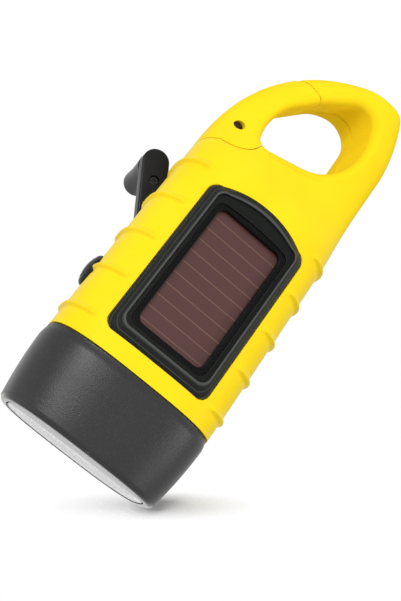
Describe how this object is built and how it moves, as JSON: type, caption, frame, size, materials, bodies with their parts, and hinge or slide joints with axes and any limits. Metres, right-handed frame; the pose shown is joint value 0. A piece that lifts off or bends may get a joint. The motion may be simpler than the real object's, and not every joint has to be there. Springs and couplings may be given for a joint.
{
  "type": "hand crank flashlight",
  "caption": "Pocket torch with a fold-out crank and gear-driven generator, a solar panel on the front, a side push button and a clip-on hook with a sprung gate.",
  "frame": {"origin": "centre of the lens's flat outer face", "axes": "+Z along the body from the lens to the hook, -Y out of the solar panel, +Y out of the crank, +X to the right seen from the front"},
  "size_m": [0.0624, 0.0633, 0.1415],
  "materials": {
    "yellow_plastic": "smooth satin moulded yellow plastic",
    "black_plastic": "finely grained satin black plastic",
    "clear_lens": "clear polished lens",
    "soft_seal": "matt black rubber",
    "mirror_silver": "vacuum-silvered plastic",
    "led_epoxy": "clear cast epoxy",
    "solar_cell": "dark red-brown thin-film cell under a clear coat",
    "circuit_board": "green solder mask",
    "steel": "plain bright steel",
    "copper_coil": "enamelled copper winding",
    "magnet": "dark sintered magnet",
    "white_gear": "off-white acetal",
    "brass": "turned brass"
  },
  "bodies": {
    "housing": {"axle_1": "steel", "axle_2": "steel", "battery": "steel", "battery_clip": "steel", "front_shell": "yellow_plastic", "gate_pin": "steel", "gate_spring": "steel", "gear_plate": "steel", "generator_cup": "steel", "generator_lid": "steel", "head_bezel": "black_plastic", "housing_screw_1": "steel", "housing_screw_2": "steel", "housing_screw_3": "steel", "housing_screw_4": "steel", "housing_screw_5": "steel", "led_1": "led_epoxy", "led_2": "led_epoxy", "led_3": "led_epoxy", "led_board": "circuit_board", "lens": "clear_lens", "lens_seal": "soft_seal", "main_board": "circuit_board", "plate_screw_1": "steel", "plate_screw_2": "steel", "plate_screw_3": "steel", "plate_screw_4": "steel", "rear_shell": "yellow_plastic", "reflector": "mirror_silver", "shaft_bush": "brass", "solar_cell": "solar_cell", "solar_frame": "black_plastic", "stator_coil": "copper_coil", "switch_board": "circuit_board", "tact_switch": "black_plastic"},
    "crank": {"crank_shaft": "steel", "drive_gear": "white_gear", "crank_hub": "black_plastic"},
    "arm": {"crank_arm": "black_plastic", "fold_pin": "steel", "arm_screw": "steel", "knob_pin": "steel"},
    "knob": {"crank_knob": "black_plastic"},
    "first_gear_set": {"first_gear": "white_gear"},
    "second_gear_set": {"second_gear": "white_gear"},
    "rotor": {"rotor_magnet": "magnet", "rotor_pinion": "brass"},
    "button": {"switch_button": "black_plastic"},
    "plunger": {"switch_plunger": "steel"},
    "gate_arm": {"gate": "yellow_plastic"}
  },
  "joints": [
    {"name": "crank_turn", "type": "hinge", "parent": "housing", "child": "crank", "pos_m": [0, 0.0178, 0.0353], "axis": [0, 1, 0], "continuous": true},
    {"name": "crank_fold", "type": "hinge", "parent": "crank", "child": "arm", "pos_m": [0, 0.02225, 0.0353], "axis": [-0.8536, 0, -0.521], "range_deg": [0, 155]},
    {"name": "knob_spin", "type": "hinge", "parent": "arm", "child": "knob", "pos_m": [-0.03095, 0.035, 0.086], "axis": [0, 1, 0], "continuous": true},
    {"name": "first_gear_turn", "type": "hinge", "parent": "housing", "child": "first_gear_set", "pos_m": [0.009, 0, 0.0473], "axis": [0, 1, 0], "continuous": true},
    {"name": "second_gear_turn", "type": "hinge", "parent": "housing", "child": "second_gear_set", "pos_m": [0, 0, 0.05524], "axis": [0, 1, 0], "continuous": true},
    {"name": "rotor_turn", "type": "hinge", "parent": "housing", "child": "rotor", "pos_m": [-0.006, 0, 0.06563], "axis": [0, 1, 0], "continuous": true},
    {"name": "switch_press", "type": "slide", "parent": "housing", "child": "button", "axis": [1, 0, 0], "range_m": [0, 0.0012], "stiffness_N_per_m": 800, "springref_m": -0.001},
    {"name": "plunger_press", "type": "slide", "parent": "housing", "child": "plunger", "axis": [1, 0, 0], "range_m": [0, 0.0012]},
    {"name": "gate_open", "type": "hinge", "parent": "housing", "child": "gate_arm", "pos_m": [-0.0201, 0, 0.0987], "axis": [0, 1, 0], "range_deg": [0, 30], "stiffness_Nm_per_rad": 0.15, "springref_deg": -20.05, "deforming": ["gate_spring"]}
  ],
  "couplings": [
    {"joint": "first_gear_turn", "follows": "crank_turn", "ratio": -4},
    {"joint": "second_gear_turn", "follows": "crank_turn", "ratio": 12},
    {"joint": "rotor_turn", "follows": "crank_turn", "ratio": -36},
    {"joint": "plunger_press", "follows": "switch_press", "ratio": 1}
  ]
}
